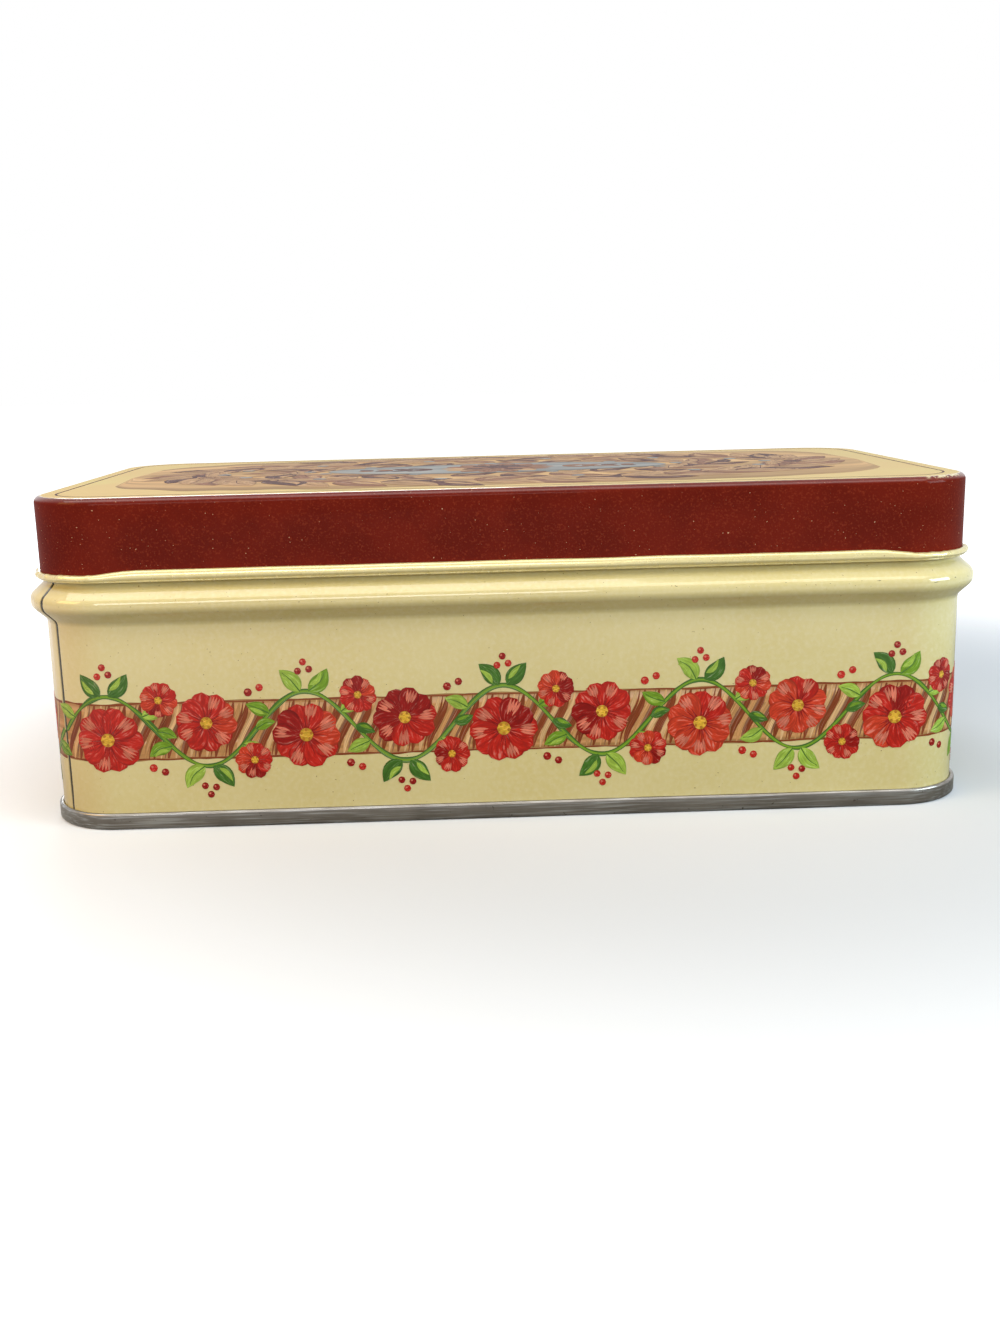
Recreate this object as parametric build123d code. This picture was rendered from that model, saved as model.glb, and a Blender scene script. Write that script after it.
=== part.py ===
from build123d import *

import os
from math import cos, degrees, radians, sin

# A slip-lid stationery tin of printed tinplate: a drawn lid, a lock-seamed body wall and a seamed-on base.
#
# The tin stands on the Z = 0 plane, centred on the Z axis, with its long front side towards -Y.
# Every size is in millimetres. Sheet is drawn as it is formed: each piece is one strip profile of the
# sheet's own thickness, carried round the tin's rounded rectangle.
#
# In a profile, "out" is the distance outward from the body wall's outer face (negative is inside the tin),
# and "up" is the height above the table.

# Body: outer faces of the plain wall
body_width = 164.2
body_depth = 89.2
corner_radius = 12.4
tin_height = 58.4

# Sheet thicknesses
lid_sheet = 0.25
body_sheet = 0.25
base_sheet = 0.25

# Lid
lid_edge_radius = 1.2
lid_curl_height = 2.1
lid_curl_reach = 1.0
lid_curl_bend = 0.47
lid_depth = 14.3
lid_side_clearance = 0.35
lid_seat_clearance = 0.1

# Body wall: neck under the lid, the finger bead below it and the rolled top edge
neck_inset = 0.2
bead_reach = 2.5
bead_centre_height = 40.2
bead_half_height = 3.3
bead_crown_height = 1.9
bead_crown_radius = 1.7
bead_foot_radius = 1.6
rim_curl_size = 1.7
rim_curl_bend = 0.55
hem_gap = 0.06

# Double seam between body wall and base
seam_height = 3.0
seam_layer_gap = 0.04
seam_ring_bend = 0.35
seam_hook_bend = 0.27
body_hook_length = 1.9
cover_hook_length = 1.7
panel_recess = 3.2
panel_bend = 0.8

# Lock seam that closes the body wall, in the front left corner, measured along the corner from its left end
lock_distance = 6.5
lock_width = 3.2
lock_layer_gap = 0.05
lock_slit = 0.2
lock_end_margin = 0.5


def length(start, end):
    """Distance between two points of a profile."""
    return ((end[0] - start[0]) ** 2 + (end[1] - start[1]) ** 2) ** 0.5


def direction(start, end):
    """Unit vector from one point of a profile to the next."""
    return (end[0] - start[0]) / length(start, end), (end[1] - start[1]) / length(start, end)


def shifted(points, distance):
    """The corners of a polyline moved sideways, to its left for a positive distance."""
    ways = [direction(a, b) for a, b in zip(points, points[1:])]
    moved = []
    for i, (x, y) in enumerate(points):
        before = ways[max(i - 1, 0)]
        after = ways[min(i, len(ways) - 1)]
        normal = (-before[1] - after[1], before[0] + after[0])
        stretch = distance / (-normal[0] * before[1] + normal[1] * before[0])
        moved.append((x + normal[0] * stretch, y + normal[1] * stretch))
    return moved


def sheet_face(points, bends, distance):
    """One face of a sheet seen on edge: a line at a distance to the left of the sheet's bent centre line.

    A bend is drawn no wider than the straight stretches beside it leave room for.
    """
    corners = shifted(points, distance)
    radii = []
    for before, corner, after, bend in zip(corners, corners[1:], corners[2:], bends):
        coming = direction(before, corner)
        going = direction(corner, after)
        turns_left = coming[0] * going[1] > coming[1] * going[0]
        cosine = coming[0] * going[0] + coming[1] * going[1]
        room = bend_share * min(length(before, corner), length(corner, after))
        widest = room * ((1 + cosine) / (1 - cosine)) ** 0.5
        radii.append(min(widest, bend - distance if turns_left else bend + distance))
    return FilletPolyline(*((x, 0, z) for x, z in corners), radius=radii)


def strip(points, bends, low, high):
    """Sheet seen on edge, between two distances to the left of a bent centre line."""
    sides = [sheet_face(points, bends, distance) for distance in (low, high)]
    caps = [Line(sides[0] @ end, sides[1] @ end) for end in (0, 1)]
    return make_face([*sides[0].edges(), *sides[1].edges(), *(cap.edge() for cap in caps)])


def sheet(points, bends, thickness):
    """Sheet seen on edge, centred on its line."""
    return strip(points, bends, -thickness / 2, thickness / 2)


def at_corner(profile, corner):
    """A profile set where the plan's corner arc begins, with "out" pointing away from the corner's centre."""
    centre_x, centre_y, start_angle = corner
    return Pos(centre_x, centre_y, 0) * Rot(0, 0, start_angle) * Pos(corner_radius, 0, 0) * profile


# Where each sheet's middle plane runs, as "out" distances
wall_line = -body_sheet / 2
neck_line = -neck_inset - body_sheet / 2
skirt_line = -neck_inset + lid_side_clearance + lid_sheet / 2
chuck_line = -body_sheet - seam_layer_gap - base_sheet / 2
cover_hook_line = seam_layer_gap + base_sheet / 2
body_hook_line = 2 * seam_layer_gap + base_sheet + body_sheet / 2
seam_wall_line = 3 * seam_layer_gap + body_sheet + 1.5 * base_sheet
rim_top = tin_height - lid_sheet - lid_seat_clearance

# The most of a straight stretch that the bend at one of its ends takes
bend_share = 0.49

# How far inside the wall the flat middle of the lid's top and of the base's panel begins
panel_edge = corner_radius / 2

straight_x = body_width / 2 - corner_radius
straight_y = body_depth / 2 - corner_radius
front_left = (-straight_x, -straight_y, 180)
corners = [
    (straight_x, -straight_y, -90),
    (straight_x, straight_y, 0),
    (-straight_x, straight_y, 90),
    front_left,
]


def bent(profile, corner, start, sweep):
    """A profile turned about a corner's centre, from start degrees into the corner through sweep degrees."""
    centre_x, centre_y, start_angle = corner
    placed = at_corner(profile, (centre_x, centre_y, start_angle + start))
    return revolve(placed, Axis((centre_x, centre_y, 0), (0, 0, 1)), sweep)


def around(profile):
    """A profile carried all the way round the tin's rounded rectangle."""
    solids = []
    for i, corner in enumerate(corners):
        solids.append(bent(profile, corner, 0, 90))
        side = 2 * (straight_y if i % 2 == 0 else straight_x)
        start = at_corner(profile, (corner[0], corner[1], corner[2] + 90))
        way = radians(corner[2] + 180)
        solids.append(extrude(start, side, dir=(cos(way), sin(way), 0)))
    return solids[0].fuse(*solids[1:])


def panel(underside, thickness):
    """The flat middle of a panel, which meets the strip that runs round it."""
    outline = RectangleRounded(body_width - 2 * panel_edge, body_depth - 2 * panel_edge, corner_radius - panel_edge)
    return extrude(Pos(0, 0, underside) * outline, thickness)


def build_lid():
    """Drawn lid: flat top, straight skirt and an outward curl that hides the cut edge."""
    top = tin_height - lid_sheet / 2
    bottom = tin_height - lid_depth + lid_sheet / 2
    curl_out = skirt_line + lid_curl_reach
    curl_top = bottom + lid_curl_height - lid_sheet
    tuck = skirt_line + lid_sheet + hem_gap
    line = [
        (-panel_edge, top),
        (skirt_line, top),
        (skirt_line, bottom),
        (curl_out, bottom),
        (curl_out, curl_top),
        (tuck, curl_top),
    ]
    edge_bend = lid_edge_radius - lid_sheet / 2
    profile = sheet(line, [edge_bend, lid_curl_bend, lid_curl_bend, lid_curl_bend], lid_sheet)
    return around(profile).fuse(panel(top - lid_sheet / 2, lid_sheet))


# The wall's middle stretch, from above the base to below the rolled top edge, that the lock seam closes
lock_bottom = panel_recess + base_sheet + lock_end_margin
lock_top = rim_top - rim_curl_size - lock_end_margin
bead = [
    (wall_line, bead_centre_height - bead_half_height),
    (wall_line + bead_reach, bead_centre_height - bead_crown_height / 2),
    (wall_line + bead_reach, bead_centre_height + bead_crown_height / 2),
    (neck_line, bead_centre_height + bead_half_height),
]
bead_bends = [bead_foot_radius, bead_crown_radius, bead_crown_radius, bead_foot_radius]


def lock_layer(first, last, start, end):
    """Part of the lock seam: the wall's middle stretch in layers first to last, counted from the outside,
    between two angles of the corner."""
    pitch = body_sheet + lock_layer_gap
    low = (first - 1) * pitch - body_sheet / 2
    high = (last - 1) * pitch + body_sheet / 2
    line = [(wall_line, lock_bottom), *bead, (neck_line, lock_top)]
    return bent(strip(line, bead_bends, low, high), front_left, start, end - start)


def build_body_wall():
    """Wrapped wall: hook for the double seam, plain wall, finger bead, neck and rolled top edge."""
    foot = base_sheet + seam_layer_gap + body_sheet / 2
    top = rim_top - body_sheet / 2
    roll_in = neck_line - rim_curl_size + body_sheet
    line = [
        (body_hook_line, foot - body_sheet / 2 + body_hook_length),
        (body_hook_line, foot),
        (wall_line, foot),
        *bead,
        (neck_line, top),
        (roll_in, top),
        (roll_in, top - rim_curl_size + body_sheet),
        (neck_line - body_sheet - hem_gap, top - rim_curl_size + body_sheet),
    ]
    bends = [seam_hook_bend, seam_hook_bend, *bead_bends, rim_curl_bend, rim_curl_bend, rim_curl_bend]
    wall = around(sheet(line, bends, body_sheet))

    # The wall's two edges hook together: the left edge stays outside and folds inward at the seam's right
    # end, and the right edge steps in behind it and folds outward at the seam's left end.
    sheet_angle = degrees(body_sheet / corner_radius)
    slit_angle = degrees(lock_slit / corner_radius)
    left = degrees(lock_distance / corner_radius)
    right = degrees((lock_distance + lock_width) / corner_radius)
    slit = lock_layer(1, 1, right, right + slit_angle)
    folds = [
        lock_layer(1, 3, right - sheet_angle, right),
        lock_layer(3, 3, left + sheet_angle + slit_angle, right),
        lock_layer(2, 4, left, left + sheet_angle),
        lock_layer(2, 2, left, right - sheet_angle - slit_angle),
        lock_layer(4, 4, left, right + slit_angle + sheet_angle),
        lock_layer(1, 4, right + slit_angle, right + slit_angle + sheet_angle),
    ]
    return wall.cut(slit).fuse(*folds)


def build_base():
    """Recessed panel whose edge is rolled together with the wall's foot into a double seam."""
    ring = base_sheet / 2
    top = seam_height - base_sheet / 2
    panel_line = panel_recess + base_sheet / 2
    line = [
        (-panel_edge, panel_line),
        (chuck_line, panel_line),
        (chuck_line, ring),
        (seam_wall_line, ring),
        (seam_wall_line, top),
        (cover_hook_line, top),
        (cover_hook_line, seam_height - cover_hook_length),
    ]
    bends = [panel_bend, seam_ring_bend, seam_ring_bend, seam_hook_bend, seam_hook_bend]
    return around(sheet(line, bends, base_sheet)).fuse(panel(panel_recess, base_sheet))


pieces = {"lid": build_lid(), "body_wall": build_body_wall(), "base": build_base()}
os.makedirs("parts", exist_ok=True)
for name, solid in pieces.items():
    box = solid.bounding_box()
    print(f"{name}: {len(solid.solids())} solid, valid {solid.is_valid}, {solid.volume:.1f} mm3,", box.min, box.max)
    export_step(solid, f"parts/{name}.step")
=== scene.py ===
"""A printed slip-lid tin: enamelled lid and wall, bare double-seamed base, a painted floral border.

Lengths are in millimetres until they reach a mesh, which is in metres. A place on the tin is given by its
distance along the wall (anticlockwise from the middle of the front, seen from above), its distance outward
from the plain wall's outer face, and its height above the table.
"""

import math
import random
from dataclasses import dataclass

import bmesh
import bpy
from mathutils import Euler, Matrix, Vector, noise


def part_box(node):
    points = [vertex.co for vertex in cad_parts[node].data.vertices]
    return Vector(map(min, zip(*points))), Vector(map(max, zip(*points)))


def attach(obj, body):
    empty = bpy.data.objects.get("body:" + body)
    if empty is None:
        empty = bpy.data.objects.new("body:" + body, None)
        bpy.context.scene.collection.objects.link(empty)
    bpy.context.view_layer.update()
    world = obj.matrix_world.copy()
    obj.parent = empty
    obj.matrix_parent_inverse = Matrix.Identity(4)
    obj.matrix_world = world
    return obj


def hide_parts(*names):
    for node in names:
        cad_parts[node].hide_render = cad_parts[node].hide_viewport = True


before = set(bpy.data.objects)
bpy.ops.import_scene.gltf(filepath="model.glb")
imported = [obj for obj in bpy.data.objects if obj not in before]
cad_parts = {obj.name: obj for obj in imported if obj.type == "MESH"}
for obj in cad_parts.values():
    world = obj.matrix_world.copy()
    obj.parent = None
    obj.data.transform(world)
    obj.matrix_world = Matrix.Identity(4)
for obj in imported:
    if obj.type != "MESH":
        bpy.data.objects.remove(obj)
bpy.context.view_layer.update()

MM = 0.001
TURN = 2 * math.pi
chance = random.Random(7)

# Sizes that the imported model's boxes give
lid_low, lid_high = (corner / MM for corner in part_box("lid"))
wall_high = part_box("body_wall")[1] / MM
base_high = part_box("base")[1] / MM

# Sizes of the formed sheet that its boxes don't show
SHEET = 0.25
CORNER = 12.4
LID_EDGE = 1.2
LID_CLEARANCE = 0.35
CURL_HEIGHT = 2.1
NECK_INSET = 0.2
BEAD_REACH = 2.5
BEAD_CENTRE = 40.2
BEAD_HALF_HEIGHT = 3.3
BEAD_CROWN = 1.8
RIM_CURL = 1.7
HEM_GAP = 0.06
SEAM_HEIGHT = 3.0
SEAM_GAP = 0.04
BODY_HOOK = 1.9
COVER_HOOK = 1.5

# The lock seam in the front left corner, measured along the corner from its left end
LOCK_DISTANCE = 6.5
LOCK_WIDTH = 3.2

# Where a panel's flat middle begins, inside the wall
PANEL_EDGE = CORNER / 2

HALF_X = wall_high.x - BEAD_REACH
HALF_Y = wall_high.y - BEAD_REACH
STRAIGHT_X = HALF_X - CORNER
STRAIGHT_Y = HALF_Y - CORNER
QUARTER = CORNER * math.pi / 2

# Middle of the sheet in the plain wall, the neck and the lid's skirt, outward from the wall's face
WALL = -SHEET / 2
NECK = -NECK_INSET - SHEET / 2
SKIRT = -NECK_INSET + LID_CLEARANCE + SHEET / 2

LID_TOP = lid_high.z
LID_FOOT = lid_low.z
RIM_TOP = wall_high.z

# The wall's outline: straight runs (length, start, direction) and quarter turns (length, centre, first angle)
OUTLINE = [
    (STRAIGHT_X, (0, -HALF_Y), (1, 0)),
    (QUARTER, (STRAIGHT_X, -STRAIGHT_Y), -90),
    (2 * STRAIGHT_Y, (HALF_X, -STRAIGHT_Y), (0, 1)),
    (QUARTER, (STRAIGHT_X, STRAIGHT_Y), 0),
    (2 * STRAIGHT_X, (STRAIGHT_X, HALF_Y), (-1, 0)),
    (QUARTER, (-STRAIGHT_X, STRAIGHT_Y), 90),
    (2 * STRAIGHT_Y, (-HALF_X, STRAIGHT_Y), (0, -1)),
    (QUARTER, (-STRAIGHT_X, -STRAIGHT_Y), 180),
    (STRAIGHT_X, (-STRAIGHT_X, -HALF_Y), (1, 0)),
]
GIRTH = sum(run[0] for run in OUTLINE)
LAST_CORNER = GIRTH - STRAIGHT_X - QUARTER
LOCK_EDGE = LAST_CORNER + LOCK_DISTANCE + LOCK_WIDTH
CORNER_MIDDLES = [
    STRAIGHT_X + QUARTER / 2,
    STRAIGHT_X + 1.5 * QUARTER + 2 * STRAIGHT_Y,
    3 * STRAIGHT_X + 2.5 * QUARTER + 2 * STRAIGHT_Y,
    LAST_CORNER + QUARTER / 2,
]
CORNER_CORE = 0.35 * QUARTER
CORNER_FADE = 0.5 * QUARTER

# Spacing of a sheet piece's points along the wall, and their distances from the lock seam's edge near it
STRAIGHT_SPACING = 2.4
CORNER_SPACING = 0.45
NEAR_LOCK = [
    -3.7, -3.6, -3.45, -3.35, -3.2, -2.9, -2.6, -2.3, -2, -1.6, -1.2, -0.8,
    -0.5, -0.3, -0.2, -0.12, -0.06, 0, 0.06, 0.12, 0.2, 0.3, 0.45, 0.6, 0.7,
]
LOCK_MARGIN = 0.1

# Spacing of a profile's points: degrees in its bends, millimetres in its straight stretches
ARC_STEP = 11
LONGEST_STEP = 2.6

# How far each ring of a flat panel is drawn in towards its middle, and the run that marks such a ring
PANEL_PULLS = [0.95, 0.88, 0.8, 0.72, 0.64, 0.56, 0.48, 0.4, 0.32, 0.25, 0.18, 0.12, 0.06]
PANEL_RUN = -1

# Where the lid's edge is knocked, in the front right corner, and where its curl is crushed beside that
KNOCK = 76.5
CRUSH = KNOCK + 9


def smoothstep(low, high, value):
    """0 below low, 1 above high, and a smooth ramp between them."""
    t = min(max((value - low) / (high - low), 0), 1)
    return t * t * (3 - 2 * t)


def heading(angle):
    """Unit vector at an angle in radians."""
    return Vector((math.cos(angle), math.sin(angle)))


def leftward(way):
    """A plan or profile direction turned a quarter to the left."""
    return Vector((-way.y, way.x))


def ring_point(along, out):
    """Plan position of the place at a distance along the wall and a distance outward from it."""
    along %= GIRTH
    for length, origin, way in OUTLINE:
        if along <= length:
            break
        along -= length
    if isinstance(way, tuple):
        step = Vector(way)
        return Vector(origin) + step * along - leftward(step) * out
    return Vector(origin) + heading(math.radians(way) + along / CORNER) * (CORNER + out)


def apart(along, place):
    """Distance along the wall from a place, the short way round; negative before it."""
    return (along - place + GIRTH / 2) % GIRTH - GIRTH / 2


def nearness(along, place, core, fade):
    """1 within core of a place, and 0 beyond the fade after it."""
    return 1 - smoothstep(core, core + fade, abs(apart(along, place)))


def corner_share(along):
    """0 on the straight sides and 1 in the corners."""
    return max(nearness(along, middle, CORNER_CORE, CORNER_FADE) for middle in CORNER_MIDDLES)


def wobble(*place, scale, amount):
    """Smooth noise of a given size in millimetres and amount in millimetres."""
    between_knots = 0.37
    spot = [value / scale for value in place] + [between_knots] * (3 - len(place))
    return amount * noise.noise(Vector(spot))


def ring_places():
    """Places along the wall at which rings of the sheet pieces have their points."""
    places = []
    start = 0
    for length, _, way in OUTLINE:
        spacing = STRAIGHT_SPACING if isinstance(way, tuple) else CORNER_SPACING
        count = math.ceil(length / spacing)
        places += [start + length * i / count for i in range(count)]
        start += length
    before = NEAR_LOCK[0] - LOCK_MARGIN
    after = NEAR_LOCK[-1] + LOCK_MARGIN
    places = [place for place in places if not before < apart(place, LOCK_EDGE) < after]
    return sorted(places + [LOCK_EDGE + step for step in NEAR_LOCK])


RING = ring_places()


def bent_line(points, bends):
    """A line through (out, up) points with its corners rounded and its long stretches divided."""
    points = [Vector(point) for point in points]
    line = [points[0]]
    for before, corner, after, bend in zip(points, points[1:], points[2:], bends):
        coming = (corner - before).normalized()
        going = (after - corner).normalized()
        if not bend:
            line.append(corner)
            continue
        side = 1 if coming.x * going.y > coming.y * going.x else -1
        turn = coming.angle(going)
        start = corner - coming * bend * math.tan(turn / 2)
        centre = start + leftward(coming) * side * bend
        spoke = start - centre
        steps = math.ceil(math.degrees(turn) / ARC_STEP)
        for i in range(steps + 1):
            angle = side * turn * i / steps
            line.append(centre + spoke * math.cos(angle) + leftward(spoke) * math.sin(angle))
    line.append(points[-1])
    divided = [line[0]]
    for a, b in zip(line, line[1:]):
        parts = math.ceil((b - a).length / LONGEST_STEP)
        divided += [a.lerp(b, (i + 1) / parts) for i in range(parts)]
    return divided


@dataclass
class Row:
    """One ring of a sheet piece.

    out and up are its place in the profile, outer says which face of the sheet it is on, run is its distance
    along the profile, and pull is how far it is drawn in towards the middle of a flat panel, from 0 to 1.
    """

    out: float
    up: float
    outer: bool
    run: float
    pull: float = 0


def faces_of_sheet(line, outer_on_left):
    """The rows of a sheet's two faces: down one face along the line and back along the other."""
    rows = []
    runs = [0]
    for a, b in zip(line, line[1:]):
        runs.append(runs[-1] + (b - a).length)
    for side in (1, -1) if outer_on_left else (-1, 1):
        face = []
        for i, point in enumerate(line):
            way = (line[min(i + 1, len(line) - 1)] - line[max(i - 1, 0)]).normalized()
            place = point + leftward(way) * side * SHEET / 2
            face.append(Row(place.x, place.y, (side == 1) == outer_on_left, runs[i]))
        rows.append(face)
    return rows[0] + rows[1][::-1]


def panel_rows(up, outer, inward):
    """Rows of a flat panel from its middle to its edge; inward gives them from the edge to the middle."""
    rows = [Row(-PANEL_EDGE, up, outer, PANEL_RUN, pull) for pull in PANEL_PULLS]
    return rows[::-1] if inward else rows


def spine_point(spot):
    """The nearest place on the line along the middle of a flat panel."""
    reach = HALF_X - HALF_Y
    return Vector((min(max(spot.x, -reach), reach), 0))


def build_sheet(name, rows, shape, closed):
    """A mesh of rings, one for each row.

    shape gives a place its final distance outward and height, with a share of marking on it: chips, dirt and
    painted shade. A closed section joins its last row to its first; an open one ends in two flat middles.
    """
    mesh = bpy.data.meshes.new(name)
    points = []
    runs = []
    marks_and_shade = []
    for row in rows:
        for along in RING:
            out, up, shade_and_mark_share = shape(row, along)
            spot = ring_point(along, out)
            spot = spot.lerp(spine_point(spot), row.pull)
            points.append(Vector((spot.x, spot.y, up)) * MM)
            runs.append(row.run)
            marks_and_shade.append(shade_and_mark_share)
    around = len(RING)
    faces = []
    outer = []
    for j in range(len(rows) if closed else len(rows) - 1):
        k = (j + 1) % len(rows)
        for i in range(around):
            n = (i + 1) % around
            faces.append((j * around + i, j * around + n, k * around + n, k * around + i))
            outer.append(rows[j].outer and rows[k].outer)
    if not closed:
        last = (len(rows) - 1) * around
        faces.append(range(around - 1, -1, -1))
        faces.append(range(last, last + around))
        outer += [True, False]
    mesh.from_pydata(points, [], faces)
    for label, values in (("run", runs), ("marks_and_shade", marks_and_shade)):
        mesh.attributes.new(label, "FLOAT", "POINT").data.foreach_set("value", values)
    for face, shown in zip(mesh.polygons, outer):
        face.material_index = 0 if shown else 1
    return finish_mesh(name, mesh, sharp_angle=50)


def finish_mesh(name, mesh, sharp_angle):
    """An object with outward, smooth-shaded faces, sharp where they meet at more than the angle."""
    work = bmesh.new()
    work.from_mesh(mesh)
    bmesh.ops.recalc_face_normals(work, faces=work.faces)
    work.to_mesh(mesh)
    work.free()
    mesh.shade_smooth()
    mesh.set_sharp_from_angle(angle=math.radians(sharp_angle))
    piece = bpy.data.objects.new(name, mesh)
    bpy.context.scene.collection.objects.link(piece)
    return piece


def panel_rise(x, y):
    """How far the lid's flat top is off level."""
    fade = (1 - smoothstep(0.7, 0.97, abs(x) / HALF_X)) * (1 - smoothstep(0.6, 0.95, abs(y) / HALF_Y))
    mean_rise = 0.2
    return fade * (mean_rise + wobble(x, y, scale=34, amount=0.16))


def lid_curl(start, foot, half):
    """The round part of the lid's curl, with a crease low on its outside."""
    reach = lid_high.x - HALF_X - SHEET / 2 - start
    crease_depth = 0.2
    crease_angle = -52
    crease_spread = 12
    curl = []
    for angle in range(-80, 121, 5):
        crease = crease_depth * math.exp(-(((angle - crease_angle) / crease_spread) ** 2))
        way = heading(math.radians(angle))
        curl.append((start + (reach - crease) * way.x, foot + half * (1 + way.y)))
    return curl


def build_lid():
    """Drawn lid. Its foot is curled outward, so the curl shows the face that lines the lid."""
    top = LID_TOP - SHEET / 2
    foot = LID_FOOT + SHEET / 2
    curl_half = (CURL_HEIGHT - SHEET) / 2
    curl_start = SKIRT + 0.45
    curl_bend = 0.44
    curl = lid_curl(curl_start, foot, curl_half)
    line = bent_line(
        [(-PANEL_EDGE, top), (SKIRT, top), (SKIRT, foot), (curl_start, foot), *curl],
        [LID_EDGE - SHEET / 2, curl_bend] + [0] * len(curl),
    )
    sheet_rows = faces_of_sheet(line, outer_on_left=True)
    rows = panel_rows(LID_TOP, outer=True, inward=False)
    rows += sheet_rows
    rows += panel_rows(LID_TOP - SHEET, outer=False, inward=True)
    skirt_run = next(row.run for row in sheet_rows if row.up < foot + 0.02)
    edge_run = PANEL_EDGE - 0.5
    edge_height = 1
    drawn_height = 6
    curl_run = 1.4
    corner_squeeze = 0.4
    # Share of painted shade on the curl's downward-facing lower half
    curl_painted_shade = 0.5

    def shape(row, along):
        spot = ring_point(along, row.out)
        if row.up > LID_TOP - edge_height:
            flat = spot.lerp(spine_point(spot), row.pull)
            knocked = nearness(along, KNOCK, 3, 3) * nearness(row.run, edge_run, 0.2, 0.5)
            return row.out, row.up + panel_rise(flat.x, flat.y), knocked
        corner = corner_share(along)
        if row.run < skirt_run:
            drawn = smoothstep(0, drawn_height, LID_TOP - row.up) * (1 - corner)
            return row.out + drawn * wobble(spot.x, spot.y, row.up, scale=30, amount=0.12), row.up, 0
        curled = smoothstep(0, curl_run, row.run - skirt_run)
        crushed = 1 + 1.2 * nearness(along, CRUSH, 4, 4)
        crumple = curled * corner * crushed * wobble(along, scale=0.9, amount=0.14)
        sway = curled * wobble(along, scale=13, amount=0.1)
        rise = row.up - foot
        # Painted shade: the lower half of the curl, which faces down, is darkened with the grime colour
        marks_and_shade = curl_painted_shade * curled * (1 - smoothstep(0.25, 0.5, rise / (2 * curl_half)))
        up = foot + rise * (1 - corner_squeeze * corner) + crumple + sway
        return row.out + 0.8 * crumple + 0.4 * sway, up, marks_and_shade

    lid = build_sheet("lid_shell", rows, shape, closed=False)
    lid.data.materials.append(lid_enamel())
    lid.data.materials.append(cream_enamel("lid_lining", metallic=0.35))
    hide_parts("lid")
    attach(lid, "lid")


def wall_bow(along, up):
    """How far the plain wall stands out from true: nothing at the base, the bead and the corners."""
    spot = ring_point(along, 0)
    held = smoothstep(3, 10, up) * (1 - smoothstep(30, 37, up)) * (1 - corner_share(along))
    return held * wobble(spot.x, spot.y, up, scale=31, amount=0.22)


def lock_lip(along):
    """How far the lapped edge of the sheet stands proud beside the lock seam's groove."""
    height = 0.07
    beyond = apart(along, LOCK_EDGE)
    return height * (smoothstep(-LOCK_WIDTH, -LOCK_WIDTH + 1.2, beyond) - smoothstep(-0.15, 0.1, beyond))


def build_wall():
    """Wrapped wall, with the groove and the inner folds of its lock seam in the front left corner."""
    foot = SHEET + SEAM_GAP + SHEET / 2
    hook = 2 * SEAM_GAP + 1.5 * SHEET
    top = RIM_TOP - SHEET / 2
    roll = NECK - RIM_CURL + SHEET
    hook_bend = 0.27
    bead_foot_bend = 1.6
    bead_crown_bend = 1.7
    rim_bend = 0.55
    line = bent_line(
        [
            (hook, foot - SHEET / 2 + BODY_HOOK),
            (hook, foot),
            (WALL, foot),
            (WALL, BEAD_CENTRE - BEAD_HALF_HEIGHT),
            (WALL + BEAD_REACH, BEAD_CENTRE - BEAD_CROWN / 2),
            (WALL + BEAD_REACH, BEAD_CENTRE + BEAD_CROWN / 2),
            (NECK, BEAD_CENTRE + BEAD_HALF_HEIGHT),
            (NECK, top),
            (roll, top),
            (roll, top - RIM_CURL + SHEET),
            (NECK - SHEET - HEM_GAP, top - RIM_CURL + SHEET),
        ],
        [
            hook_bend, hook_bend,
            bead_foot_bend, bead_crown_bend, bead_crown_bend, bead_foot_bend,
            rim_bend, rim_bend, rim_bend,
        ],
    )
    rows = faces_of_sheet(line, outer_on_left=False)
    lock_low = base_high.z + 0.5
    lock_high = RIM_TOP - RIM_CURL - 0.5
    lock_fade = 0.4
    fold_depth = 0.9
    groove_depth = 0.22
    groove_width = 0.22
    groove_place = 0.13
    # Darkness of the lock seam's groove: dirt in the joint and painted shade in the recess
    groove_dirt_and_shade = 1.9
    # Painted shade on the neck, in the band that the lid's curl hangs over
    neck_painted_shade = 0.22

    def shape(row, along):
        beyond = apart(along, LOCK_EDGE)
        bow = wall_bow(along, row.up)
        locked = smoothstep(lock_low - lock_fade, lock_low, row.up)
        locked -= smoothstep(lock_high, lock_high + lock_fade, row.up)
        locked *= row.out > -1
        if not row.outer:
            folds = smoothstep(-LOCK_WIDTH - 0.3, -LOCK_WIDTH, beyond) - smoothstep(0.45, 0.7, beyond)
            return row.out + bow - fold_depth * folds * locked, row.up, 0
        # The lock seam's groove is painted dark, dirt in the joint and painted shade in the recess together
        groove = math.exp(-(((beyond - groove_place) / groove_width) ** 2))
        dent = wobble(along, row.up, scale=17, amount=0.05) * smoothstep(BEAD_CENTRE - 4, BEAD_CENTRE, row.up)
        raised = locked * (lock_lip(along) - groove_depth * groove)
        marked = locked + (1 - locked) * (SEAM_HEIGHT - 0.4 < row.up < BEAD_CENTRE)
        # Painted shade: a darker band on the neck where the lid's curl hangs over it
        under_curl_shade = neck_painted_shade * (smoothstep(42.4, 43.2, row.up) - smoothstep(44.6, 45.2, row.up))
        return row.out + bow + dent + raised, row.up, min(1, groove_dirt_and_shade * marked * groove + under_curl_shade)

    wall = build_sheet("wall_shell", rows, shape, closed=True)
    wall.data.materials.append(cream_enamel("wall_enamel", scuffed=True))
    wall.data.materials.append(cream_enamel("wall_lining"))
    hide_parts("body_wall")
    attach(wall, "tin")


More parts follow.
